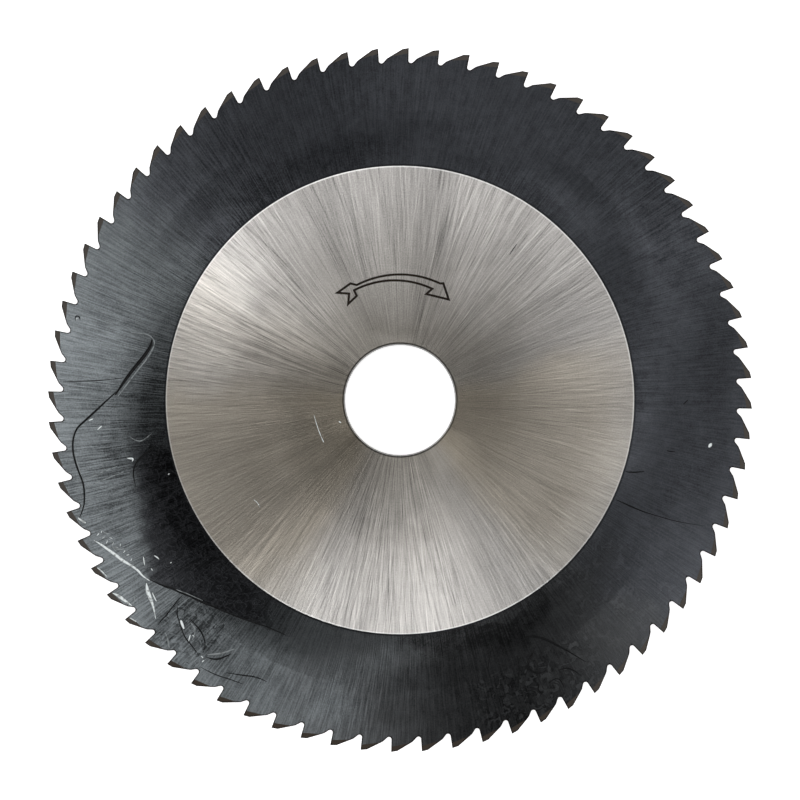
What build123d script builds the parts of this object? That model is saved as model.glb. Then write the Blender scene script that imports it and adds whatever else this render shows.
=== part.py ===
from build123d import *
import os
from math import radians, tan

# A key cutting wheel in one piece: a flat ground hub, hollow-ground sides and a toothed V rim.
# It lies on its lower hub face with its bore along +Z, and one cutting edge points along +X.
# The cutting edges lead clockwise, seen from above. Lengths are millimetres, angles are degrees.

outside_diameter = 60.4
bore_diameter = 9.53
bore_chamfer = 0.13
hub_thickness = 5.25
hub_diameter = 39.7

# The sides thicken from the rim at a steady taper. A concave run then rises to the hub's edge.
rim_thickness = 0.86
taper_width = 5.4
taper_angle = 8

# Across the V, both bevels together, and the flat left at its tip.
vee_angle = 80
edge_width = 0.15

# Each tooth has a radial face and a short relieved land behind its cutting edge.
# Its back then drops straight from the land's heel to the flank of the next gullet.
tooth_count = 72
tooth_depth = 1.36
land_length = 0.55
land_relief = 11

# The flank stands at this angle to the next tooth's face, and is straight for this length.
gullet_angle = 45
gullet_flank = 0.455
gullet_radius = 0.22

# The bevel cutters start this far ahead of an edge and stop this far short of the next one.
cutter_clearance = 0.1

tip_radius = outside_diameter / 2
pitch_angle = 360 / tooth_count


def turned_blank():
    """The wheel before its teeth are cut, centred on its middle plane."""
    hub_edge = (hub_diameter / 2, hub_thickness / 2)
    rim_edge = Vector(tip_radius, rim_thickness / 2)
    taper_rise = taper_width * tan(radians(taper_angle))
    bore_radius = bore_diameter / 2
    hub_face = Polyline(
        (tip_radius, 0),
        (bore_radius, 0),
        (bore_radius, hub_thickness / 2 - bore_chamfer),
        (bore_radius + bore_chamfer, hub_thickness / 2),
        hub_edge,
    )
    rim = Line((tip_radius, 0), rim_edge)
    tapered_side = Line(rim_edge, rim_edge + Vector(-taper_width, taper_rise))
    hollow_side = TangentArc(tapered_side @ 1, hub_edge, tangent=tapered_side % 1)
    upper_half = Plane.XZ * make_face([hub_face, hollow_side, tapered_side, rim])
    return revolve(upper_half + mirror(upper_half, Plane.XY), Axis.Z)


def tooth_corners():
    """The first tooth from above: its edge, the land's heel, the flank's top and the gullet's corner."""
    edge = Vector(tip_radius, 0)
    heel = edge + Vector(0, land_length).rotate(Axis.Z, land_relief)
    rounded_length = gullet_radius / tan(radians(gullet_angle / 2))
    corner_radius = tip_radius - tooth_depth + gullet_radius - rounded_length
    corner = Vector(corner_radius, 0).rotate(Axis.Z, pitch_angle)
    flank_length = rounded_length + gullet_flank
    flank = Vector(flank_length, 0).rotate(Axis.Z, pitch_angle - gullet_angle)
    return [edge, heel, corner + flank, corner]


def toothed_outline():
    """The whole outline from above, with every gullet rounded."""
    turns = [tooth * pitch_angle for tooth in range(tooth_count)]
    points = [point.rotate(Axis.Z, turn) for turn in turns for point in tooth_corners()]
    outline = make_face(Polyline(*points, close=True))
    gullets = outline.vertices().group_by(lambda corner: Vector(corner).length)[0]
    return fillet(gullets, gullet_radius)


def bevel_cutters():
    """Two wedges that bevel the first tooth's sides, carried back at the relief of its land."""
    bevel_slope = tan(radians(vee_angle / 2))
    low = edge_width / 2
    high = rim_thickness
    outer = tip_radius + cutter_clearance
    wedge = Polyline(
        (tip_radius, low),
        (outer, low),
        (outer, high),
        (tip_radius - (high - low) / bevel_slope, high),
        close=True,
    )
    next_edge = Vector(tip_radius, 0).rotate(Axis.Z, pitch_angle).Y
    rearward = Vector(0, 1).rotate(Axis.Z, land_relief)
    upper = extrude(Plane.XZ * make_face(wedge), next_edge, dir=rearward)
    upper = Pos(-rearward * cutter_clearance) * upper
    return [upper, mirror(upper, Plane.XY)]


def cutting_wheel():
    wheel = turned_blank() & extrude(toothed_outline(), hub_thickness / 2, both=True)
    turns = [Rot(0, 0, tooth * pitch_angle) for tooth in range(tooth_count)]
    wheel -= [turn * cutter for turn in turns for cutter in bevel_cutters()]
    return Pos(0, 0, hub_thickness / 2) * wheel


os.makedirs("parts", exist_ok=True)
export_step(cutting_wheel(), "parts/cutting_wheel.step")
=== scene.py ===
from functools import reduce
from math import atan2, cos, degrees, pi, radians, sin

import bmesh
import bpy
from bpy.props import FloatProperty, FloatVectorProperty, PointerProperty
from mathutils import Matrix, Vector


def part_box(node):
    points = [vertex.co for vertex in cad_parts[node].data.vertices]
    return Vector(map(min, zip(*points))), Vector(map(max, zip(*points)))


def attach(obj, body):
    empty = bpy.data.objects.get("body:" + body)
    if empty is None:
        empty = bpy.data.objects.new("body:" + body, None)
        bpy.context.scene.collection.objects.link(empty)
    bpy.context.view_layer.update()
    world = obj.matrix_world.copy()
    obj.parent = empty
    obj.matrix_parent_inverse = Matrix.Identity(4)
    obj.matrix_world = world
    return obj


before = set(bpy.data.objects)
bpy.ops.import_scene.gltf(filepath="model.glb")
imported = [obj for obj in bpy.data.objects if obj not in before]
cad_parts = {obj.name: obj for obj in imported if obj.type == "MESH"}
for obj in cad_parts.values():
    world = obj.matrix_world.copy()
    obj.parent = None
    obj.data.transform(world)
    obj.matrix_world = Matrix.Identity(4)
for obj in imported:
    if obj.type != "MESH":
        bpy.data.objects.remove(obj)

bl_info = {
    "name": "Key Cutting Wheel",
    "version": (1, 0, 0),
    "blender": (4, 5, 0),
    "location": "3D View > Sidebar > Cutting Wheel",
    "description": "Finishes the toothed wheel, marks its hub and lights it",
    "category": "Object",
}

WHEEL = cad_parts["cutting_wheel"]
LOW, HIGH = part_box("cutting_wheel")
TOP = HIGH.z
MID = (HIGH.z + LOW.z) / 2
MM = 0.001


def hub_rings():
    """The radii of the flat hub face's inner and outer edges, in millimetres."""
    radii = [v.co.xy.length for v in WHEEL.data.vertices if v.co.z > TOP - MM / 1000]
    return min(radii) / MM, max(radii) / MM


BORE_EDGE, HUB_EDGE = hub_rings()


class HubFinish(bpy.types.PropertyGroup):
    steel: FloatVectorProperty(
        name="Steel", description="Colour of the ground hub face", subtype="COLOR",
        default=(0.32, 0.309, 0.297)
    )
    # Painted shade with a browner stain: the hub's colour towards the bore, darker than the steel.
    stain_and_shade: FloatVectorProperty(
        name="Stain", description="Colour of the oil-stained steel round the bore", subtype="COLOR",
        default=(0.14, 0.131, 0.117)
    )
    oily: FloatVectorProperty(
        name="Oily", description="Tint of the thin oil", subtype="COLOR",
        default=(1.055, 1.0, 0.895), max=2
    )
    roughness: FloatProperty(
        name="Roughness", description="Roughness of the ground face", subtype="FACTOR",
        default=0.36, min=0, max=1
    )
    line_depth: FloatProperty(
        name="Grinding depth", description="Depth of the grinding lines", unit="LENGTH",
        default=0.00005, precision=6
    )


class SideFinish(bpy.types.PropertyGroup):
    roughness: FloatProperty(
        name="Roughness", description="Roughness of the sides", subtype="FACTOR",
        default=0.42, min=0, max=1
    )
    oxide: FloatVectorProperty(
        name="Oxide", description="Colour of the blackened sides", subtype="COLOR",
        default=(0.066, 0.07, 0.079)
    )
    neutral: FloatVectorProperty(
        name="Neutral", description="Colour of the blackened sides at their lower part",
        subtype="COLOR", default=(0.0685, 0.0705, 0.0715)
    )
    film: FloatVectorProperty(
        name="Film", description="Colour of the sides under the dried oil", subtype="COLOR",
        default=(0.094, 0.103, 0.108)
    )
    # Painted shade: the dark over the oil film's middle next to the hub, and round the hub's foot.
    pooled_oil_and_shade: FloatVectorProperty(
        name="Pooled oil", description="Colour of the oil pooled at the hub's foot",
        subtype="COLOR", default=(0.024, 0.025, 0.0275)
    )
    bevel: FloatVectorProperty(
        name="Bevel", description="Colour of the ground bevels", subtype="COLOR",
        default=(0.073, 0.064, 0.056)
    )
    temper: FloatVectorProperty(
        name="Temper", description="Straw tint of the lower bevels", subtype="COLOR",
        default=(0.046, 0.036, 0.028)
    )
    # Painted shade along the teeth's outline.
    edge: FloatVectorProperty(
        name="Edge", description="Dark line along the teeth's outline", subtype="COLOR",
        default=(0.012, 0.008, 0.006)
    )


class ArrowSettings(bpy.types.PropertyGroup):
    centre: FloatProperty(
        name="Arc centre", description="Distance of the arc's centre from the bore's axis",
        unit="LENGTH", default=0.00269, precision=5
    )
    radius: FloatProperty(
        name="Radius", description="Radius of the arc's outer line", unit="LENGTH",
        default=0.00795, precision=5
    )
    band: FloatProperty(
        name="Band", description="Width between the arc's two lines", unit="LENGTH",
        default=0.0005, precision=5
    )
    stroke: FloatProperty(
        name="Stroke", description="Width of the burnt line", unit="LENGTH",
        default=0.00019, precision=5
    )
    ink: FloatVectorProperty(
        name="Burnt line", description="Colour of the burnt line", subtype="COLOR",
        default=(0.008, 0.006, 0.005)
    )


class OilSettings(bpy.types.PropertyGroup):
    crease: FloatVectorProperty(
        name="Crease", description="Colour of the film's creases", subtype="COLOR",
        default=(0.005, 0.0053, 0.0057)
    )
    # Painted highlight: pale ridges for the light along the lit side of the oil's creases.
    ridge_highlight: FloatVectorProperty(
        name="Ridge", description="Colour of the film's ridges", subtype="COLOR",
        default=(0.2, 0.22, 0.225)
    )
    # Painted highlight: the beads are coloured near white for the glints on thick oil.
    bead_glint: FloatVectorProperty(
        name="Bead", description="Colour of the thick beads", subtype="COLOR",
        default=(0.75, 0.8, 0.8)
    )
    rise: FloatProperty(
        name="Rise", description="Height of a crease or bead, as a part of half its width",
        default=0.4, min=0.1, max=1
    )


class StageSettings(bpy.types.PropertyGroup):
    floor: FloatVectorProperty(
        name="Floor", description="Colour of the floor", subtype="COLOR", default=(0.8, 0.8, 0.8)
    )
    ambient: FloatProperty(
        name="Ambient", description="Level of the light from all round", default=0.3, min=0
    )
    camera_height: FloatProperty(
        name="Camera height", description="Distance above the hub face", unit="LENGTH",
        default=0.212
    )
    camera_turn: FloatProperty(
        name="Camera turn", description="Turn of the camera about its line of sight",
        unit="ROTATION", default=radians(1.435)
    )


class Finish:
    """Adds shader nodes to a new material, and joins each to the ones before it."""

    def __init__(self, name):
        self.material = bpy.data.materials.new(name)
        self.material.use_nodes = True
        self.nodes = self.material.node_tree.nodes
        self.links = self.material.node_tree.links
        self.nodes.clear()

    def put(self, socket, value):
        if isinstance(value, bpy.types.NodeSocket):
            self.links.new(value, socket)
        elif hasattr(value, "__len__") and len(value) == 3 and socket.type == "RGBA":
            socket.default_value = (*value, 1)
        else:
            socket.default_value = value

    def node(self, kind, inputs, **settings):
        node = self.nodes.new("ShaderNode" + kind)
        for name, value in settings.items():
            setattr(node, name, value)
        for key, value in inputs.items():
            self.put(node.inputs[key], value)
        return node

    def add(self, kind, inputs, output=0, **settings):
        return self.node(kind, inputs, **settings).outputs[output]

    def math(self, operation, *values):
        return self.add("Math", dict(enumerate(values)), operation=operation)

    def fold(self, operation, values):
        """Joins any number of values by an operation that takes two."""
        return reduce(lambda first, second: self.math(operation, first, second), values)

    def times(self, *values):
        return self.fold("MULTIPLY", values)

    def least(self, *values):
        return self.fold("MINIMUM", values)

    def most(self, *values):
        return self.fold("MAXIMUM", values)

    def plus(self, base, value, factor=1.0):
        """The base, with this value times this factor added."""
        return self.math("MULTIPLY_ADD", value, factor, base)

    def centred(self, noise):
        return self.math("SUBTRACT", noise, 0.5)

    def vector(self, x, y, z):
        return self.add("CombineXYZ", {0: x, 1: y, 2: z})

    def split(self, vector):
        return self.node("SeparateXYZ", {0: vector}).outputs

    def place(self):
        return self.add("TexCoord", {}, output="Object")

    def fade(self, value, start, end, low=0.0, high=1.0):
        """Runs from low at the start value to high at the end value, and holds beyond them."""
        inputs = {0: value, 1: start, 2: end, 3: low, 4: high}
        return self.add("MapRange", inputs, interpolation_type="SMOOTHSTEP")

    def mix(self, factor, low, high):
        return self.add("Mix", {"Factor": factor, 2: low, 3: high}, data_type="FLOAT")

    def blend(self, factor, low, high, mode="MIX"):
        """Mixes two colours, which are a Mix node's sockets 6, 7 and 2."""
        inputs = {"Factor": factor, 6: low, 7: high}
        return self.add("Mix", inputs, output=2, data_type="RGBA", blend_type=mode)

    def tint(self, colour, tone):
        return self.blend(1.0, colour, tone, "MULTIPLY")

    def noise(self, place, scale, detail, twist=0.0):
        inputs = {"Vector": place, "Scale": scale, "Detail": detail, "Distortion": twist}
        return self.add("TexNoise", inputs)

    def end(self, surface):
        self.node("OutputMaterial", {"Surface": surface})
        return self.material

    def bumped(self, inputs, height, depth, strength):
        """Ends with a shader of these inputs, with a bump of this depth in metres."""
        bump = self.add("Bump", {"Height": height, "Distance": depth, "Strength": strength})
        return self.end(self.add("BsdfPrincipled", {**inputs, "Normal": bump}))


# The noises' scales, per millimetre: clouds, blotches, curls of dried oil and grains of dirt.
CLOUD_SCALE, MOTTLE_SCALE, CURL_SCALE, GRIT_SCALE = 0.16, 1.3, 1.25, 8.0
# How far the clouds shift a ring's edge, in millimetres.
CLOUD_SHIFT = 6.0

# The teeth from above, in millimetres. The first one's edge lies on the X axis.
TOOTH_COUNT = 72
TOOTH_DEPTH = 1.36
GULLET_RADIUS = 0.22
PITCH = 2 * pi / TOOTH_COUNT
TIP_RADIUS = HIGH.x / MM
ROOT_RADIUS = TIP_RADIUS - TOOTH_DEPTH
CORNER_DEPTH = 1.671
CORNER_RADIUS = TIP_RADIUS - CORNER_DEPTH
# The straight parts of its outline, as lines through a point at a heading in degrees.
LAND = (TIP_RADIUS, 0, 101)
BACK = (TIP_RADIUS - 0.105, 0.54, 125)
FLANK = (CORNER_RADIUS * cos(PITCH), CORNER_RADIUS * sin(PITCH), 140)
# The face and the flank end this far above the root, where the gullet's round takes over.
ROUND_HEIGHT = 0.08


class WheelFinish(Finish):
    """A finish that knows where each point lies on the wheel, in millimetres."""

    def __init__(self, name):
        super().__init__(name)
        scaled = {0: self.place(), "Scale": 1 / MM}
        self.position = self.add("VectorMath", scaled, operation="SCALE")
        self.x, self.y, self.z = self.split(self.position)
        self.flat = self.vector(self.x, self.y, 0)
        self.outward = self.add("VectorMath", {0: self.flat}, operation="NORMALIZE")
        self.radius = self.add("VectorMath", {0: self.flat}, output="Value", operation="LENGTH")
        self.angle = self.math("ARCTAN2", self.y, self.x)
        normal = self.add("NewGeometry", {}, output="True Normal")
        self.flatness = self.math("ABSOLUTE", self.split(normal)[2])
        self.cloud = self.centred(self.noise(self.position, CLOUD_SCALE, 3))
        # The radius as the clouds shift it, for rings with ragged edges.
        self.wander = self.plus(self.radius, self.cloud, CLOUD_SHIFT)
        self.mottle = self.noise(self.position, MOTTLE_SCALE, 3)
        self.grit = self.centred(self.noise(self.position, GRIT_SCALE, 1))
        self.upper = self.math("GREATER_THAN", self.z, MID / MM)

    def streaks(self, count, length, detail, swirl=0.0, seed=0.0):
        """Noise drawn out along the radius: so many streaks round the wheel, about this long."""
        turned = self.plus(self.angle, self.radius, swirl)
        along = self.math("MULTIPLY_ADD", self.radius, 2 * pi / (count * length), seed)
        place = self.vector(self.math("COSINE", turned), self.math("SINE", turned), along)
        return self.noise(place, count / (2 * pi), detail)

    def lobe(self, heading, spread):
        """1 near a heading from the axis, fading to 0 at this many degrees to either side."""
        toward = (cos(radians(heading)), sin(radians(heading)), 0)
        inputs = {0: self.outward, 1: toward}
        facing = self.add("VectorMath", inputs, output="Value", operation="DOT_PRODUCT")
        edge, full = cos(radians(spread)), cos(radians(spread / 2))
        return self.fade(self.plus(facing, self.cloud, 1 - edge), edge, full)

    def smeared_and_lit(self, smears_and_light):
        """A tone near 1 that the smears, painted highlights and painted shade lighten or darken."""
        tone = 1.0
        for heading, spread, start, end, part in smears_and_light:
            strength = self.fade(self.wander, start, end, 0, part)
            tone = self.plus(tone, self.lobe(heading, spread), strength)
        return tone

    def left_of(self, line, x, y):
        """How far a point lies to the left of a line through a point at a heading."""
        px, py, heading = line
        nx, ny = -sin(radians(heading)), cos(radians(heading))
        part = self.math("MULTIPLY_ADD", x, nx, -px * nx - py * ny)
        return self.plus(part, y, ny)

    def outline_depth(self):
        """How far inside the teeth's outline a point lies, in millimetres."""
        turned = self.math("FLOORED_MODULO", self.angle, PITCH)
        x = self.times(self.radius, self.math("COSINE", turned))
        y = self.times(self.radius, self.math("SINE", turned))
        below = self.math("LESS_THAN", self.radius, ROOT_RADIUS + ROUND_HEIGHT)
        depths = [
            self.left_of(LAND, x, y),
            self.left_of(BACK, x, y),
            self.plus(y, below),
            self.plus(self.left_of(FLANK, x, y), below),
        ]
        middle = ROOT_RADIUS + GULLET_RADIUS
        for angle in (0, PITCH):
            centre = Vector((middle * cos(angle), middle * sin(angle), 0))
            centre += Vector((sin(angle), -cos(angle), 0)) * GULLET_RADIUS
            inputs = {0: self.vector(x, y, 0), 1: centre}
            away = self.add("VectorMath", inputs, output="Value", operation="DISTANCE")
            depths.append(self.math("SUBTRACT", away, GULLET_RADIUS))
        return self.least(*depths)


# Soft areas, each by its heading from the axis and half its spread, in degrees. On the hub, the
# fans of highlight, painted as grinding lines with more contrast, with how much, and the thin oil
# at the left and at the right.
HIGHLIGHT_FANS = ((153, 30, 1.0), (266, 28, 1.0), (55, 30, 0.6))
OILY_LEFT, OILY_RIGHT = (194, 60), (344, 40)
# On the sides: the whole film of dried oil, its deep middle painted dark as shade next to the hub,
# the worn steel beside it, the neutral black and the straw tint of the lower part, and the small
# patches of oil.
FILM, DEEP_SHADED, WORN = (204, 74), (217, 36), (146, 32)
NEUTRAL, TEMPERED = (276, 55), (262, 52)
LOWER_PATCH, RIGHT_PATCH, LEFT_PATCH = (297, 15), (320, 12), (229, 7)
# Beyond either of the first two lines the film is clear again. Its deep middle ends at the third.
CLEAR_LINES = ((-20.55, -16.08, 144.9), (-20.55, -16.08, 159.6))
DEEP_LINE = (-23.04, -5.57, 279.3)
# Faint smears, with painted highlights on the fans of light and painted shade by the hub's edge, on
# the hub and on
# the sides: the heading and half the spread of each in degrees, the two radii between which it
# comes in, and the part by which it lightens or darkens.
HUB_SMEARS_AND_LIGHT = (
    (188, 30, 9, 12, 0.2), (154, 22, 12, 16, 0.4), (262, 26, 10, 13, 0.3), (286, 12, 9, 11, 0.2),
    (332, 26, 15, 19, 0.25), (98, 26, 5, 6, -0.25), (121, 18, 11, 13, -0.1),
    (300, 15, 14, 17, -0.1), (315, 20, 9, 6, 0.3), (150, 10, 5, 7, 0.2), (45, 25, 16, 12, 0.16),
    (210, 12, 14, 11, 0.2),
)
SIDE_SMEARS_AND_LIGHT = (
    (200, 100, 26, 29, 0.3), (228, 14, 27.5, 29, 0.4), (324, 16, 22, 23, 0.2),
    (320, 28, 23.5, 28, 0.35), (288, 20, 20, 20.1, -0.25), (113, 20, 20, 20.1, -0.12),
    (112, 26, 24, 21.5, -0.35), (22, 26, 24, 26, -0.3), (332, 30, 24, 22, 0.3),
    (345, 50, 27, 29, 0.3), (260, 22, 20, 20.1, 0.15), (291, 22, 23.5, 21.5, -0.4),
    (311, 7, 23, 21.5, -0.3), (229, 7, 23.8, 24.4, -0.4), (186, 15, 26.5, 25.3, -0.18),
    (60, 14, 23, 21, -0.3), (189, 16, 23, 21.5, -0.3), (178, 14, 24, 25, 0.2),
    (198, 10, 24, 25, -0.15), (158, 24, 21, 21.8, 0.2), (262, 20, 21.5, 22.5, 0.14),
    (218, 7, 25.5, 26.5, 0.15), (209, 18, 22, 20.6, -0.4), (0, 14, 21.6, 20.5, -0.25),
    (135, 12, 21.4, 20.5, -0.25), (254, 12, 22.5, 21.5, 0.2),
)
# How far each pattern swings the tone of the hub and of the sides.
HUB_LINES, HUB_STRONG_LINES, HUB_BLOTCHES, HUB_GRIT = 2.6, 0.4, 0.3, 0.5
SIDE_BLOTCHES = 0.6
# The same where a pattern isn't the same all over: grinding off the fans of highlight and in them
# (the latter painted glints); streaks and grit on plain black and on worn steel; streaks in the
# deep oil; and wrinkles off the film and on it.
OFF_FAN_LINES, FAN_LINES = 0.45, 1.1
BLACK_STREAKS, WORN_STREAKS, DEEP_STREAKS = 0.16, 0.38, 0.25
BLACK_GRIT, WORN_GRIT = 0.8, 1.3
WRINKLE_OFF_FILM, WRINKLE_ON_FILM = -0.45, 0.4
# How much lighter the islands of oil are, and how much darker what lies between them.
ISLAND_SWING = 0.3
# The sides' darkest tone.
DARKEST = 0.25
# How much shows of the thin oil in the fans of highlight, of the neutral black and of the right
# patch.
FAN_OIL, NEUTRAL_PART, RIGHT_PATCH_PART = 0.35, 0.8, 0.5
# How much shows of the painted highlight on the hub's edge, of the painted shade round its foot and
# of the teeth's painted dark line.
EDGE_HIGHLIGHT_PART, FOOT_SHADE_PART, TOOTH_SHADE_PART = 0.5, 0.8, 0.85
EDGE_HIGHLIGHT = (0.75, 0.75, 0.74)
# The part of the hair lines beside the two families of fine ones.
HAIR_PART = 0.7
# How much of a line's noise goes into its stray from the radius.
STRAY = 0.5
# How high the deep oil's wrinkles stand beside the streaks.
WRINKLE_HEIGHT = 0.3
# Where edges fade in, in millimetres: the hub's edge itself, the painted highlight inside it, the
# painted shade outside it, and the painted dark line along the teeth.
HUB_EDGE_FADE = (HUB_EDGE - 0.01, HUB_EDGE + 0.01)
EDGE_HIGHLIGHT_FADE = (HUB_EDGE - 0.13, HUB_EDGE - 0.08)
FOOT_SHADE_FADE = (HUB_EDGE + 0.24, HUB_EDGE + 0.1)
TOOTH_SHADE_FADE = (0.13, 0.05)
# The radius beyond which the teeth have their own colours. A bevel's normal points less than this
# straight up or down.
TEETH_START = ROOT_RADIUS - 0.2
FLAT = 0.9


def ground_steel(finish, hub):
    """The hub's colour, its grinding lines as a height, and their stray from the radius."""
    # Short and fine lines, with a few stronger bright and dark ones among them.
    fine = finish.streaks(760, 6, detail=2, swirl=0.005)
    crossing = finish.streaks(540, 8, detail=2, swirl=-0.006, seed=4.0)
    hair = finish.streaks(1300, 4, detail=1, seed=9.0)
    lines = finish.plus(finish.math("ADD", fine, crossing), hair, HAIR_PART)
    lines = finish.times(lines, 1 / (2 + HAIR_PART))
    bright = finish.fade(finish.streaks(900, 9, detail=1, swirl=0.003, seed=17.0), 0.58, 0.7)
    dark = finish.fade(finish.streaks(860, 9, detail=1, swirl=-0.003, seed=23.0), 0.42, 0.3)
    strong = finish.math("SUBTRACT", bright, dark)
    in_fans = finish.most(*(finish.times(finish.lobe(*lobe), part) for *lobe, part in HIGHLIGHT_FANS))

    # Duller and browner towards the bore, a browner stain with painted shade, and tinted under
    # clouds of thin oil.
    near_edge = finish.fade(finish.wander, BORE_EDGE - 1, HUB_EDGE + 1)
    steel = finish.blend(near_edge, hub.stain_and_shade, hub.steel)
    inward = finish.fade(finish.wander, HUB_EDGE + 2, 15, 0.3, 0.9)
    oily = finish.most(finish.lobe(*OILY_LEFT), finish.times(finish.lobe(*OILY_RIGHT), inward))
    # Less oil tint inside the fans of highlight, so that their painted highlights stay neutral.
    oily = finish.times(oily, finish.mix(in_fans, 1.0, FAN_OIL))
    steel = finish.blend(oily, steel, finish.tint(steel, hub.oily))

    tone = finish.times(finish.centred(lines), HUB_LINES)
    tone = finish.plus(tone, strong, HUB_STRONG_LINES)
    tone = finish.plus(tone, finish.centred(finish.mottle), HUB_BLOTCHES)
    # More contrast in the grinding lines inside the fans of highlight: painted glints.
    contrast = finish.mix(in_fans, OFF_FAN_LINES, FAN_LINES)
    # Smears, painted highlights and painted shade lighten or darken the hub by heading.
    tone = finish.plus(finish.smeared_and_lit(HUB_SMEARS_AND_LIGHT), tone, contrast)
    tone = finish.plus(tone, finish.grit, HUB_GRIT)
    stray = finish.times(finish.math("SUBTRACT", fine, crossing), STRAY)
    return finish.tint(steel, tone), lines, stray


def blackened_steel(finish, side):
    """The sides' colour with the dried oil, their height, and their streaks' stray."""
    streak = finish.streaks(1400, 2.6, detail=3, swirl=0.002, seed=2.0)
    blotches = finish.centred(finish.mottle)

    # The film of oil over part of the upper side, and its deep middle, painted dark as shade.
    film = finish.times(finish.lobe(*FILM), finish.upper)
    clear = finish.most(*(finish.left_of(line, finish.x, finish.y) for line in CLEAR_LINES))
    covered = finish.fade(clear, 0.15, -0.1)
    inner = finish.plus(finish.left_of(DEEP_LINE, finish.x, finish.y), blotches, 2.0)
    deep_shaded = finish.times(finish.lobe(*DEEP_SHADED), finish.fade(inner, -0.8, 1.4), covered, film)
    neutral = finish.times(finish.lobe(*NEUTRAL), NEUTRAL_PART)
    oxide = finish.blend(neutral, side.oxide, side.neutral)
    oxide = finish.blend(film, oxide, side.film)
    oxide = finish.blend(deep_shaded, oxide, side.pooled_oil_and_shade)

    # The oil has dried in fine curling wrinkles there, and in patches at the lower right and left.
    curl = finish.noise(finish.position, CURL_SCALE, 3, twist=1.2)
    patch = finish.most(
        finish.times(finish.lobe(*LOWER_PATCH), finish.fade(finish.radius, 24, 25.5)),
        finish.times(finish.lobe(*RIGHT_PATCH), RIGHT_PATCH_PART),
        finish.times(finish.lobe(*LEFT_PATCH), finish.fade(finish.radius, 23.8, 24.4)),
    )
    patch = finish.times(patch, finish.fade(finish.mottle, 0.4, 0.52), finish.upper)
    island = finish.times(finish.fade(curl, 0.4, 0.6, -ISLAND_SWING, ISLAND_SWING), patch)
    wrinkle = finish.fade(finish.math("ABSOLUTE", finish.centred(curl)), 0.06, 0.015)
    wrinkle = finish.times(wrinkle, finish.most(deep_shaded, patch))

    # Streaks, blotches, wrinkles and grit swing the tone, most of all under the oil.
    worn = finish.most(film, finish.times(finish.lobe(*WORN), finish.upper))
    swing = finish.mix(deep_shaded, WORN_STREAKS, DEEP_STREAKS)
    swing = finish.mix(worn, BLACK_STREAKS, swing)
    tone = finish.times(finish.fade(streak, 0.32, 0.68, -1, 1), swing)
    tone = finish.plus(tone, blotches, SIDE_BLOTCHES)
    tone = finish.plus(tone, wrinkle, finish.mix(film, WRINKLE_OFF_FILM, WRINKLE_ON_FILM))
    tone = finish.plus(tone, island)
    tone = finish.plus(tone, finish.grit, finish.mix(worn, BLACK_GRIT, WORN_GRIT))
    # Smears, painted highlights and painted shade lighten or darken the sides by heading.
    tone = finish.most(finish.plus(tone, finish.smeared_and_lit(SIDE_SMEARS_AND_LIGHT)), DARKEST)
    height = finish.plus(streak, finish.times(wrinkle, deep_shaded), WRINKLE_HEIGHT)
    return finish.tint(oxide, tone), height, finish.times(finish.centred(streak), STRAY)


def line_hub_edge(finish, side, colour, on_side):
    """A painted highlight along the hub's edge, and a line of painted shade round its foot."""
    on_hub = finish.math("SUBTRACT", 1.0, on_side)
    edge_highlight = finish.fade(finish.radius, *EDGE_HIGHLIGHT_FADE)
    colour = finish.blend(finish.times(edge_highlight, on_hub, EDGE_HIGHLIGHT_PART), colour, EDGE_HIGHLIGHT)
    foot_shade = finish.fade(finish.radius, *FOOT_SHADE_FADE)
    return finish.blend(finish.times(foot_shade, on_side, FOOT_SHADE_PART), colour, side.pooled_oil_and_shade)


def line_teeth(finish, side, colour):
    """Ground bevels, straw at the lower part, and painted shade in a dark line along the teeth's
    outline.
    """
    near_teeth = finish.math("GREATER_THAN", finish.radius, TEETH_START)
    bevel = finish.times(near_teeth, finish.math("LESS_THAN", finish.flatness, FLAT))
    ground = finish.blend(finish.lobe(*TEMPERED), side.bevel, side.temper)
    colour = finish.blend(bevel, colour, ground)
    # Painted shade: a dark line just inside the teeth's outline.
    line = finish.fade(finish.outline_depth(), *TOOTH_SHADE_FADE)
    off_walls = finish.fade(finish.flatness, 0.05, 0.3)
    line = finish.times(line, near_teeth, off_walls, TOOTH_SHADE_PART)
    return finish.blend(line, colour, side.edge)


def wheel_steel(hub, side):
    """Ground hub, blackened sides and ground bevels, told apart by radius and by slope."""
    finish = WheelFinish("tool_steel_ground_and_blackened")
    on_side = finish.fade(finish.radius, *HUB_EDGE_FADE)
    steel, hub_height, hub_stray = ground_steel(finish, hub)
    oxide, side_height, side_stray = blackened_steel(finish, side)
    colour = finish.blend(on_side, steel, oxide)
    colour = line_hub_edge(finish, side, colour, on_side)
    colour = line_teeth(finish, side, colour)

    # The steel's grain runs out from the axis, each line a few degrees off its neighbours.
    across = finish.vector(finish.times(finish.y, -1), finish.x, 0)
    stray = finish.mix(on_side, hub_stray, side_stray)
    along = finish.add("VectorMath", {0: finish.flat, "Scale": stray}, operation="SCALE")
    inputs = {
        "Base Color": colour,
        "Metallic": 1,
        "Roughness": finish.mix(on_side, hub.roughness, side.roughness),
        "Anisotropic": 1,
        "Tangent": finish.add("VectorMath", {0: across, 1: along}, operation="ADD"),
    }
    height = finish.mix(on_side, hub_height, side_height)
    return finish.bumped(inputs, height, depth=hub.line_depth, strength=1.0)


# The height of the bump in the burnt line and in the dried oil, in metres.
SKIN_DEPTH = 0.00001
SCALE_COLOUR = (0.02, 0.015, 0.012)


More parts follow.
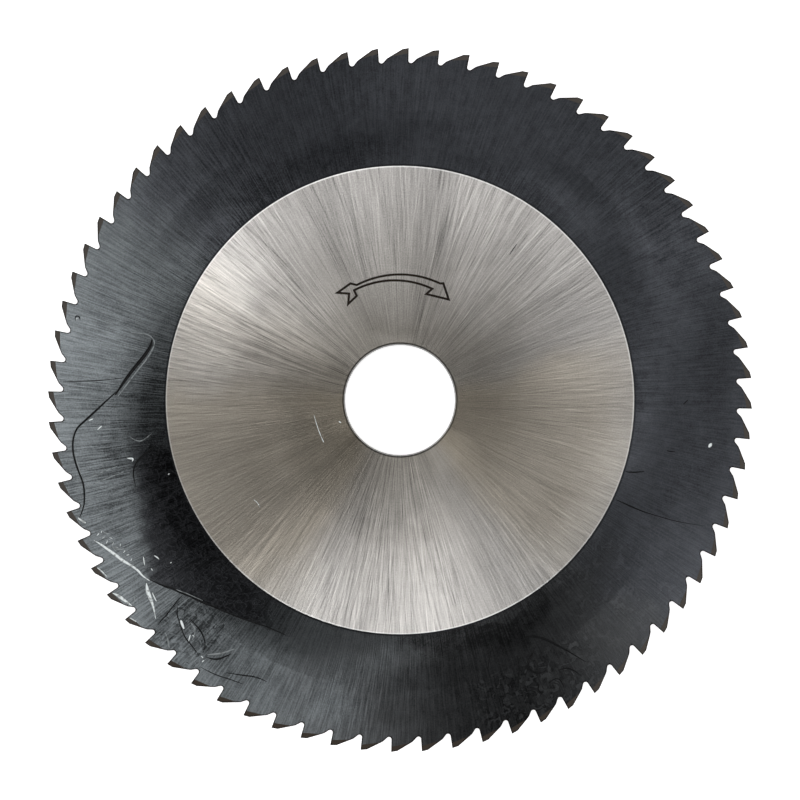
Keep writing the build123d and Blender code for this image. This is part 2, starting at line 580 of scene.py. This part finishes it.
def burnt_ink(settings):
    """The dark, slightly scaly line that a laser burns into steel."""
    finish = Finish("burnt_line")
    speck = finish.noise(finish.place(), 9000, 2)
    inputs = {
        "Base Color": finish.blend(speck, settings.ink, SCALE_COLOUR),
        "Specular IOR Level": 0.05,
        "Roughness": finish.fade(speck, 0.3, 0.7, 0.6, 0.85),
    }
    return finish.bumped(inputs, speck, depth=SKIN_DEPTH, strength=0.5)


def dried_oil(name, colour, roughness, shine):
    """Thick oil, smooth and glossy, with darker and duller ripples."""
    finish = Finish(name)
    ripple = finish.fade(finish.noise(finish.place(), 3500, 2), 0.48, 0.68)
    inputs = {
        "Base Color": finish.blend(ripple, colour, tuple(0.4 * channel for channel in colour)),
        "Specular IOR Level": shine,
        "Roughness": finish.mix(ripple, roughness, roughness + 0.15),
    }
    return finish.bumped(inputs, ripple, depth=SKIN_DEPTH, strength=0.4)


def dress(piece, name, material):
    """Names a new piece, gives it its material and lets it ride on the wheel."""
    piece.name = piece.data.name = name
    piece.data.materials.clear()
    piece.data.materials.append(material)
    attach(piece, "root")


# The head and the tail round the arc's ends, in millimetres from the arc's centre.
ARROW_HEAD = ((3.67, 7.2), (4.13, 5.83), (2.23, 6.29))
ARROW_TAIL = ((-4.2, 7.19), (-5.3, 6.4), (-4.31, 6.32), (-4.39, 5.45), (-3.67, 6.13))
# The arc's ends and its vertices' spacing, in degrees.
ARC_START, ARC_END = 64.7, 117.5
ARC_STEP = 2.4
# The inner line's shift along X, in millimetres.
INNER_SHIFT = -0.45
# The burnt line's height, as a part of its width.
ARROW_HEIGHT = 0.12
# Vertices no further than this from a place lie at it.
NEAR = 0.02 * MM


class Outline:
    """A line of vertices drawn in edit mode, each one extruded from the last."""

    def __init__(self, piece):
        self.piece = piece
        bpy.ops.object.mode_set(mode="EDIT")
        bpy.ops.mesh.select_mode(type="VERT")

    def pick(self, test):
        """Selects only the vertices that pass a test."""
        mesh = bmesh.from_edit_mesh(self.piece.data)
        for part in (*mesh.faces, *mesh.edges):
            part.select = False
        for vertex in mesh.verts:
            vertex.select = test(vertex.co)
        mesh.select_flush_mode()
        bmesh.update_edit_mesh(self.piece.data)

    def draw(self, start, points):
        """Extrudes a line from the vertex at a place through more points."""
        here = Vector(start)
        self.pick(lambda co: (co - here).length < NEAR)
        for point in points:
            there = Vector(point)
            bpy.ops.mesh.extrude_vertices_move(TRANSFORM_OT_translate={"value": there - here})
            here = there
        return here

    def join(self, *places):
        """Joins vertices that lie at these places with an edge."""
        self.pick(lambda co: any((co - place).length < NEAR for place in places))
        bpy.ops.mesh.edge_face_add()

    def close(self):
        bpy.ops.object.mode_set(mode="OBJECT")


class CUTTER_OT_rotation_arrow(bpy.types.Operator):
    """Burn the outline of the rotation arrow into the hub face"""

    bl_idname = "cutter.rotation_arrow"
    bl_label = "Rotation Arrow"

    def execute(self, context):
        settings = context.scene.cutter_arrow
        centre = Vector((0, settings.centre, 0))
        bpy.ops.object.select_all(action="DESELECT")
        bpy.ops.mesh.primitive_circle_add(
            vertices=round(360 / ARC_STEP), radius=settings.radius, location=centre,
            rotation=(0, 0, radians(ARC_START - 90))
        )
        piece = context.object
        bpy.ops.object.transform_apply(location=True, rotation=True)
        outline = Outline(piece)

        def outside_arc(co):
            angle = degrees(atan2(co.y - centre.y, co.x))
            return not ARC_START - 1 < angle < ARC_END + 1

        outline.pick(outside_arc)
        bpy.ops.mesh.delete(type="VERT")
        bpy.ops.mesh.select_all(action="SELECT")
        bpy.ops.mesh.duplicate()
        shrink = (settings.radius - settings.band) / settings.radius
        bpy.ops.transform.resize(value=(shrink, shrink, 1), center_override=centre)
        shift = Vector((INNER_SHIFT * MM, 0, 0))
        bpy.ops.transform.translate(value=shift)
        for angle, corners in ((ARC_START, ARROW_HEAD), (ARC_END, ARROW_TAIL)):
            end = Vector((cos(radians(angle)), sin(radians(angle)), 0)) * settings.radius
            points = [centre + Vector((x, y, 0)) * MM for x, y in corners]
            last = outline.draw(centre + end, points)
            outline.join(last, centre + end * shrink + shift)
        bpy.ops.mesh.select_all(action="SELECT")
        bpy.ops.mesh.edge_face_add()
        outline.close()
        stroke = piece.modifiers.new("stroke", "WIREFRAME")
        stroke.thickness = settings.stroke
        stroke.offset = 0
        stroke.use_boundary = True
        bpy.ops.object.modifier_apply(modifier=stroke.name)
        bpy.ops.object.mode_set(mode="EDIT")
        bpy.ops.mesh.select_all(action="SELECT")
        bpy.ops.transform.resize(value=(1, 1, ARROW_HEIGHT), center_override=(0, 0, 0))
        bpy.ops.transform.translate(value=(0, 0, TOP))
        bpy.ops.object.mode_set(mode="OBJECT")
        piece.rotation_euler = (0, 0, context.scene.cutter_stage.camera_turn)
        bpy.ops.object.transform_apply(location=False, rotation=True)
        dress(piece, "rotation_arrow", burnt_ink(settings))
        return {"FINISHED"}


class CUTTER_OT_finish_wheel(bpy.types.Operator):
    """Give the wheel its ground hub, blackened sides and ground bevels"""

    bl_idname = "cutter.finish_wheel"
    bl_label = "Finish Wheel"

    def execute(self, context):
        steel = wheel_steel(context.scene.cutter_hub, context.scene.cutter_side)
        for slot in WHEEL.material_slots:
            slot.material = steel
        return {"FINISHED"}


# The dried oil's dark creases, grey ridges coloured as painted highlights, and beads, specks and
# scratches coloured
# white as painted glints, in millimetres: each line's points, and half its width at each.
CREASES = (
    ((-21.18, 4.92, 0.02), (-21.20, 4.24, 0.12), (-21.80, 3.24, 0.16), (-22.76, 2.10, 0.15),
     (-23.60, 0.92, 0.14), (-24.28, -0.17, 0.06)),
    ((-23.95, 0.36, 0.03), (-24.62, -0.30, 0.06), (-25.39, -1.02, 0.08), (-26.35, -1.97, 0.10),
     (-27.01, -2.57, 0.09), (-27.57, -3.10, 0.08), (-27.88, -3.98, 0.08), (-27.88, -5.05, 0.08),
     (-27.59, -6.16, 0.08), (-27.18, -7.10, 0.08), (-26.83, -7.98, 0.08), (-26.75, -9.17, 0.07),
     (-26.83, -9.95, 0.06), (-27.15, -10.73, 0.03)),
    ((-20.54, -4.27, 0.02), (-21.25, -4.88, 0.10), (-21.96, -5.45, 0.11), (-22.38, -5.94, 0.08),
     (-22.66, -6.93, 0.06), (-22.33, -7.95, 0.02)),
    ((-21.00, -15.85, 0.03), (-19.78, -16.42, 0.08), (-19.08, -16.52, 0.09), (-18.32, -16.92, 0.08),
     (-17.61, -17.11, 0.09), (-16.63, -17.62, 0.08), (-15.66, -17.93, 0.08), (-14.20, -18.49, 0.07),
     (-13.11, -18.90, 0.07), (-11.82, -19.28, 0.06), (-10.56, -19.67, 0.06), (-9.22, -20.25, 0.03)),
    ((-18.12, -17.09, 0.02), (-18.54, -17.53, 0.05), (-19.37, -18.71, 0.05), (-19.99, -19.45, 0.04),
     (-20.20, -19.72, 0.02)),
    ((-16.02, -22.39, 0.02), (-15.42, -22.59, 0.08), (-14.65, -22.45, 0.09),
     (-13.89, -22.04, 0.03)),
    ((-14.27, -23.68, 0.02), (-12.90, -23.86, 0.06), (-11.53, -23.95, 0.06),
     (-10.75, -24.36, 0.02)),
    ((-16.42, -23.30, 0.02), (-15.30, -23.88, 0.05), (-13.92, -24.23, 0.05),
     (-12.79, -24.63, 0.02)),
    ((-28.89, 0.83, 0.02), (-27.05, 0.93, 0.04), (-25.34, 1.05, 0.04), (-23.55, 1.31, 0.02)),
    ((24.16, 0.24, 0.02), (24.35, 0.41, 0.07), (24.56, 0.63, 0.02)),
    ((-27.93, 6.07, 0.02), (-27.98, 6.39, 0.05), (-27.78, 6.53, 0.06), (-27.53, 6.39, 0.05),
     (-27.53, 6.10, 0.02)),
    ((-18.52, -18.13, 0.02), (-18.64, -18.73, 0.06), (-18.32, -19.50, 0.04), (-17.95, -20.69, 0.06),
     (-17.24, -21.44, 0.05), (-16.62, -22.28, 0.02)),
    ((-17.47, -19.13, 0.02), (-16.95, -19.63, 0.06), (-16.33, -20.39, 0.07), (-16.04, -21.41, 0.04),
     (-16.29, -22.02, 0.02)),
    ((10.65, -20.40, 0.02), (11.24, -19.91, 0.08), (11.84, -19.81, 0.10), (12.96, -20.08, 0.09),
     (13.74, -20.49, 0.10), (14.78, -21.02, 0.06), (15.56, -21.47, 0.05), (16.43, -21.97, 0.02)),
    ((12.03, -20.79, 0.02), (11.79, -21.57, 0.09), (11.38, -22.26, 0.11), (11.83, -22.94, 0.09),
     (12.69, -23.09, 0.05), (13.19, -22.65, 0.02)),
    ((10.74, -24.32, 0.02), (10.66, -23.40, 0.08), (10.83, -22.54, 0.05), (10.51, -21.60, 0.02)),
    ((8.35, -21.00, 0.02), (8.12, -21.82, 0.06), (8.08, -22.90, 0.02)),
    ((11.93, -23.62, 0.02), (12.54, -23.95, 0.06), (12.34, -24.55, 0.05), (12.82, -24.84, 0.02)),
    ((14.08, -22.75, 0.02), (14.73, -22.48, 0.07), (15.57, -22.76, 0.05), (16.12, -23.24, 0.02)),
    ((13.31, -23.93, 0.02), (13.72, -23.41, 0.06), (14.41, -23.56, 0.05), (14.60, -24.15, 0.02)),
    ((9.57, 13.46, 0.02), (9.30, 13.10, 0.05), (8.97, 12.53, 0.02)),
    ((18.56, -8.00, 0.02), (19.45, -8.38, 0.07), (20.84, -8.96, 0.05), (22.28, -9.36, 0.03),
     (23.74, -9.75, 0.03), (25.24, -9.99, 0.02), (26.40, -10.12, 0.01)),
    ((19.32, -5.60, 0.03), (20.02, -5.70, 0.10), (20.93, -5.54, 0.02)),
    ((22.83, -3.73, 0.02), (23.15, -3.86, 0.07), (23.56, -3.77, 0.02)),
)
# Pale ridges of oil beside the creases, coloured as painted highlights.
RIDGE_HIGHLIGHTS = (
    ((-23.09, 5.15, 0.02), (-22.28, 5.14, 0.04), (-21.55, 5.04, 0.05), (-21.05, 4.63, 0.06),
     (-20.95, 4.16, 0.06), (-21.50, 3.08, 0.06), (-22.45, 1.90, 0.05), (-23.32, 0.72, 0.06),
     (-24.07, -0.31, 0.02)),
    ((-27.06, -7.43, 0.02), (-27.18, -6.79, 0.05), (-27.50, -5.98, 0.04), (-27.67, -5.17, 0.02)),
    ((-26.93, -7.55, 0.02), (-26.16, -7.23, 0.05), (-25.15, -6.74, 0.05), (-23.96, -6.26, 0.02)),
    ((-26.65, -8.14, 0.02), (-25.72, -7.69, 0.04), (-24.45, -7.15, 0.04), (-23.43, -6.74, 0.02)),
    ((-15.91, -22.17, 0.02), (-15.17, -22.09, 0.09), (-14.49, -21.97, 0.07),
     (-13.60, -21.59, 0.03)),
    ((-22.36, -17.12, 0.02), (-22.20, -17.45, 0.07), (-22.38, -18.01, 0.02)),
    ((-17.38, -19.47, 0.02), (-17.07, -19.81, 0.06), (-16.97, -20.32, 0.05),
     (-17.25, -21.01, 0.02)),
    ((-19.58, -20.39, 0.02), (-19.36, -20.81, 0.06), (-19.25, -21.53, 0.06),
     (-19.21, -21.70, 0.02)),
    ((-24.22, -13.14, 0.02), (-23.87, -13.34, 0.08), (-23.52, -13.42, 0.09),
     (-23.19, -13.24, 0.02)),
    ((-22.87, -3.77, 0.02), (-22.22, -4.14, 0.05), (-21.62, -3.91, 0.05), (-21.03, -3.38, 0.02)),
    ((-19.81, -16.37, 0.02), (-18.73, -16.64, 0.04), (-17.61, -17.00, 0.04),
     (-16.40, -17.52, 0.02)),
    ((-25.10, -11.87, 0.02), (-24.84, -12.08, 0.07), (-24.59, -12.03, 0.02)),
    ((-24.62, -12.46, 0.02), (-24.40, -12.71, 0.06), (-24.10, -12.75, 0.02)),
    ((-24.30, -13.10, 0.02), (-24.08, -13.39, 0.05), (-23.82, -13.60, 0.02)),
)
# Beads of thick oil, a few specks and two scratches, coloured white as painted glints.
GLINT_BEADS = (
    ((-26.54, -2.42, 0.02), (-26.35, -2.33, 0.07), (-26.16, -2.27, 0.02)),
    ((-25.75, -3.17, 0.02), (-25.57, -3.01, 0.09), (-25.40, -2.85, 0.02)),
    ((-23.12, -5.54, 0.02), (-22.83, -5.56, 0.09), (-22.56, -5.59, 0.07), (-22.69, -5.80, 0.02)),
    ((-27.86, 6.23, 0.03), (-27.77, 6.28, 0.09), (-27.68, 6.31, 0.03)),
    ((-25.88, -12.66, 0.02), (-25.40, -12.89, 0.08), (-24.66, -13.40, 0.11), (-23.94, -13.87, 0.14),
     (-23.33, -14.34, 0.13), (-22.72, -14.64, 0.09), (-21.97, -15.14, 0.10), (-21.60, -15.62, 0.06),
     (-20.99, -15.97, 0.03)),
    ((-21.27, -16.19, 0.03), (-21.19, -16.83, 0.20), (-20.90, -17.51, 0.15), (-20.61, -18.18, 0.08),
     (-20.42, -19.21, 0.02)),
    ((-20.74, -16.99, 0.02), (-20.55, -17.45, 0.08), (-20.38, -17.71, 0.02)),
    ((-18.25, -19.29, 0.07), (-18.13, -19.62, 0.17), (-17.97, -20.00, 0.06)),
    ((-27.31, -10.75, 0.03), (-27.01, -11.02, 0.13), (-26.61, -11.18, 0.05)),
    ((-25.56, -15.00, 0.02), (-25.19, -15.22, 0.07), (-24.70, -15.73, 0.02)),
    ((-24.18, -17.15, 0.02), (-23.73, -17.29, 0.13), (-23.20, -17.70, 0.15),
     (-22.50, -18.16, 0.03)),
    ((-22.69, -19.21, 0.02), (-22.39, -19.36, 0.07), (-22.09, -19.54, 0.02)),
    ((-20.64, -13.80, 0.02), (-20.41, -13.89, 0.09), (-20.20, -14.10, 0.02)),
    ((-19.23, -14.40, 0.02), (-19.18, -14.35, 0.06), (-19.12, -14.31, 0.02)),
    ((-21.56, -13.93, 0.02), (-21.52, -14.29, 0.07), (-21.44, -14.66, 0.02)),
    ((-20.88, -14.89, 0.02), (-20.83, -14.98, 0.07), (-20.77, -15.08, 0.02)),
    ((-17.54, -21.07, 0.02), (-17.49, -20.76, 0.08), (-17.40, -20.50, 0.02)),
    ((-17.21, -20.51, 0.02), (-17.14, -20.58, 0.06), (-17.07, -20.66, 0.02)),
    ((-16.45, -22.30, 0.02), (-16.36, -22.38, 0.06), (-16.27, -22.48, 0.02)),
    ((-16.37, -22.82, 0.02), (-16.28, -22.73, 0.07), (-16.18, -22.66, 0.02)),
    ((-25.15, -12.46, 0.01), (-25.05, -12.39, 0.06), (-24.95, -12.32, 0.01)),
    ((-24.79, -12.90, 0.01), (-24.74, -12.76, 0.04), (-24.69, -12.63, 0.01)),
    ((-24.53, -12.37, 0.01), (-24.41, -12.41, 0.04), (-24.28, -12.45, 0.01)),
    ((-24.29, -13.04, 0.01), (-24.22, -12.91, 0.06), (-24.16, -12.78, 0.01)),
    ((-24.00, -13.17, 0.01), (-23.87, -13.20, 0.04), (-23.74, -13.22, 0.01)),
    ((-23.60, -13.11, 0.01), (-23.58, -12.99, 0.04), (-23.55, -12.87, 0.01)),
    ((-23.30, -13.65, 0.01), (-23.22, -13.54, 0.06), (-23.15, -13.43, 0.01)),
    ((-23.03, -13.84, 0.01), (-22.91, -13.81, 0.04), (-22.80, -13.77, 0.01)),
    ((-25.63, -12.25, 0.01), (-25.53, -12.14, 0.05), (-25.43, -12.04, 0.01)),
    ((-25.26, -12.02, 0.01), (-25.23, -11.92, 0.04), (-25.20, -11.82, 0.01)),
    ((-24.91, -12.01, 0.01), (-24.80, -12.04, 0.04), (-24.69, -12.07, 0.01)),
    ((-22.66, -14.33, 0.01), (-22.61, -14.21, 0.05), (-22.55, -14.09, 0.01)),
    ((-7.24, -1.47, 0.01), (-6.98, -2.54, 0.03), (-6.38, -3.74, 0.03)),
    ((-12.20, -8.75, 0.01), (-11.86, -8.93, 0.03), (-11.63, -9.40, 0.02)),
    ((-5.14, -1.95, 0.02), (-5.04, -2.00, 0.07), (-4.94, -2.05, 0.02)),
    ((26.46, -3.38, 0.04), (26.59, -3.21, 0.24), (26.72, -3.03, 0.04)),
    ((-19.51, -6.83, 0.02), (-19.46, -6.78, 0.08), (-19.41, -6.73, 0.02)),
)


def lay_on_wheel(strips, rise):
    """Draws tapering lines in plan, flattens them and lays them on the wheel's upper side."""
    bpy.ops.object.select_all(action="DESELECT")
    bpy.ops.curve.primitive_nurbs_path_add()
    piece = bpy.context.object
    curve = piece.data
    curve.splines.clear()
    for strip in strips:
        spline = curve.splines.new("NURBS")
        spline.points.add(len(strip) - 1)
        for point, (x, y, half_width) in zip(spline.points, strip):
            point.co = (x * MM, y * MM, 0, 1)
            point.radius = half_width
        spline.order_u = 3
        spline.use_endpoint_u = True
        spline.resolution_u = 6
    curve.bevel_depth = MM
    curve.bevel_resolution = 2
    curve.use_fill_caps = True
    bpy.ops.object.convert(target="MESH")
    piece = bpy.context.object
    depsgraph = bpy.context.evaluated_depsgraph_get()
    for vertex in piece.data.vertices:
        above = Vector((vertex.co.x, vertex.co.y, TOP + MM))
        hit, place, _, _ = WHEEL.ray_cast(above, Vector((0, 0, -1)), depsgraph=depsgraph)
        if not hit:
            raise ValueError("a line of oil runs off the wheel")
        vertex.co.z = place.z + vertex.co.z * rise
    return piece


class CUTTER_OT_dried_oil(bpy.types.Operator):
    """Lay the dried oil's creases, and its ridges and beads coloured as painted highlights, on the
    wheel
    """

    bl_idname = "cutter.dried_oil"
    bl_label = "Dried Oil"

    def execute(self, context):
        settings = context.scene.cutter_oil
        for name, strips, colour, roughness, shine in (
            ("oil_creases", CREASES, settings.crease, 0.4, 0.1),
            ("oil_ridge_highlights", RIDGE_HIGHLIGHTS, settings.ridge_highlight, 0.35, 0.4),
            ("oil_bead_glints", GLINT_BEADS, settings.bead_glint, 0.2, 0.5),
        ):
            material = dried_oil(name, colour, roughness, shine)
            dress(lay_on_wheel(strips, settings.rise), name, material)
        return {"FINISHED"}


# Each soft lamp's lean from straight above, its azimuth and its watts.
SOFTBOXES = (
    (12, 60, 0.385), (24, 0, 0.296), (24, 180, 0.609), (24, 220, 0.463), (38, 140, 0.179),
    (52, 20, 0.157), (52, 120, 0.179), (66, 100, 0.465), (66, 320, 0.544),
)
# The side of each lamp and its distance from the wheel, in metres.
LAMP_SIZE = 0.16
LAMP_DISTANCE = 0.6
# The floor's disc, in metres, with the width of its outer ring and the height to which its rim
# turns up. It is too far away for either to show.
FLOOR_SIDES = 96
FLOOR_RADIUS = 1.9
RING_WIDTH = 0.2
RIM_HEIGHT = 0.5
# The floor's glow to the camera. In the steel it glows more from far off than from nearby.
CAMERA_GLOW = 0.8
NEARBY, FAR_OFF = 0.03, 0.6
NEARBY_GLOW, FAR_GLOW = 0.3, 0.7
# The camera's lens and sensor in millimetres, and its nearest visible distance in metres.
LENS = 112.57
SENSOR_WIDTH = 36
CLIP_START = 0.01


def softbox(name, tilt, azimuth, power):
    """A square area lamp turned to the wheel, leant from straight above towards an azimuth."""
    lamp = bpy.data.lights.new(name, "AREA")
    lamp.shape = "SQUARE"
    lamp.size = LAMP_SIZE
    lamp.energy = power
    box = bpy.data.objects.new(name, lamp)
    bpy.context.scene.collection.objects.link(box)
    a, t = radians(azimuth), radians(tilt)
    away = Vector((sin(t) * cos(a), sin(t) * sin(a), cos(t)))
    box.location = Vector((0, 0, TOP)) + away * LAMP_DISTANCE
    box.rotation_euler = away.to_track_quat("Z", "Y").to_euler()


def pale_floor(colour):
    """Matt and pale, and white to the camera and in the steel."""
    finish = Finish("pale_floor")
    path = finish.node("LightPath", {}).outputs
    mirrored = finish.most(path["Is Glossy Ray"], path["Is Transmission Ray"])
    away = finish.add("VectorMath", {0: finish.place()}, output="Value", operation="LENGTH")
    reflected = finish.times(mirrored, finish.fade(away, NEARBY, FAR_OFF, NEARBY_GLOW, FAR_GLOW))
    glow = finish.plus(reflected, path["Is Camera Ray"], CAMERA_GLOW)
    matt = finish.add("BsdfDiffuse", {"Color": colour})
    white = finish.add("Emission", {"Color": (1, 1, 1), "Strength": glow})
    return finish.end(finish.add("AddShader", {0: matt, 1: white}))


class CUTTER_OT_stage(bpy.types.Operator):
    """Set the pale floor, the soft lamps and the camera above the wheel"""

    bl_idname = "cutter.stage"
    bl_label = "Stage"

    def execute(self, context):
        settings = context.scene.cutter_stage
        bpy.ops.object.select_all(action="DESELECT")
        bpy.ops.mesh.primitive_circle_add(
            vertices=FLOOR_SIDES, radius=FLOOR_RADIUS, fill_type="NGON"
        )
        floor = context.object
        bpy.ops.object.mode_set(mode="EDIT")
        bpy.ops.mesh.select_all(action="SELECT")
        bpy.ops.mesh.inset(thickness=RING_WIDTH)
        bpy.ops.mesh.select_all(action="SELECT")
        bpy.ops.mesh.region_to_loop()
        bpy.ops.mesh.extrude_region_move(TRANSFORM_OT_translate={"value": (0, 0, RIM_HEIGHT)})
        bpy.ops.object.mode_set(mode="OBJECT")
        floor.name = "floor"
        floor.data.materials.append(pale_floor(settings.floor))
        world = bpy.data.worlds.new("studio")
        context.scene.world = world
        world.use_nodes = True
        ambient = world.node_tree.nodes["Background"]
        ambient.inputs["Color"].default_value = (1, 1, 1, 1)
        ambient.inputs["Strength"].default_value = settings.ambient
        for number, (tilt, azimuth, power) in enumerate(SOFTBOXES):
            softbox(f"softbox_{number}", tilt, azimuth, power)
        camera = bpy.data.cameras.new("camera")
        camera.sensor_width = SENSOR_WIDTH
        camera.lens = LENS
        camera.clip_start = CLIP_START
        view = bpy.data.objects.new("camera", camera)
        context.scene.collection.objects.link(view)
        view.location = (0, 0, TOP + settings.camera_height)
        view.rotation_euler = (0, 0, settings.camera_turn)
        context.scene.camera = view
        context.scene.view_settings.view_transform = "Standard"
        return {"FINISHED"}


class CUTTER_PT_panel(bpy.types.Panel):
    """Lists the wheel's pieces"""

    bl_idname = "CUTTER_PT_panel"
    bl_label = "Cutting Wheel"
    bl_space_type = "VIEW_3D"
    bl_region_type = "UI"
    bl_category = "Cutting Wheel"

    def draw(self, context):
        for operator in OPERATORS:
            self.layout.operator(operator.bl_idname)


GROUPS = {
    "cutter_hub": HubFinish,
    "cutter_side": SideFinish,
    "cutter_arrow": ArrowSettings,
    "cutter_oil": OilSettings,
    "cutter_stage": StageSettings,
}
OPERATORS = (CUTTER_OT_finish_wheel, CUTTER_OT_rotation_arrow, CUTTER_OT_dried_oil, CUTTER_OT_stage)


def register():
    for group in GROUPS.values():
        bpy.utils.register_class(group)
    for name, group in GROUPS.items():
        setattr(bpy.types.Scene, name, PointerProperty(type=group))
    for operator in OPERATORS:
        bpy.utils.register_class(operator)
    bpy.utils.register_class(CUTTER_PT_panel)


def unregister():
    bpy.utils.unregister_class(CUTTER_PT_panel)
    for operator in OPERATORS:
        bpy.utils.unregister_class(operator)
    for name in GROUPS:
        delattr(bpy.types.Scene, name)
    for group in GROUPS.values():
        bpy.utils.unregister_class(group)


def main():
    """Builds everything round the frame."""
    register()
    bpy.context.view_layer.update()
    bpy.ops.cutter.finish_wheel()
    bpy.ops.cutter.rotation_arrow()
    bpy.ops.cutter.dried_oil()
    bpy.ops.cutter.stage()


if __name__ == "__main__":
    main()
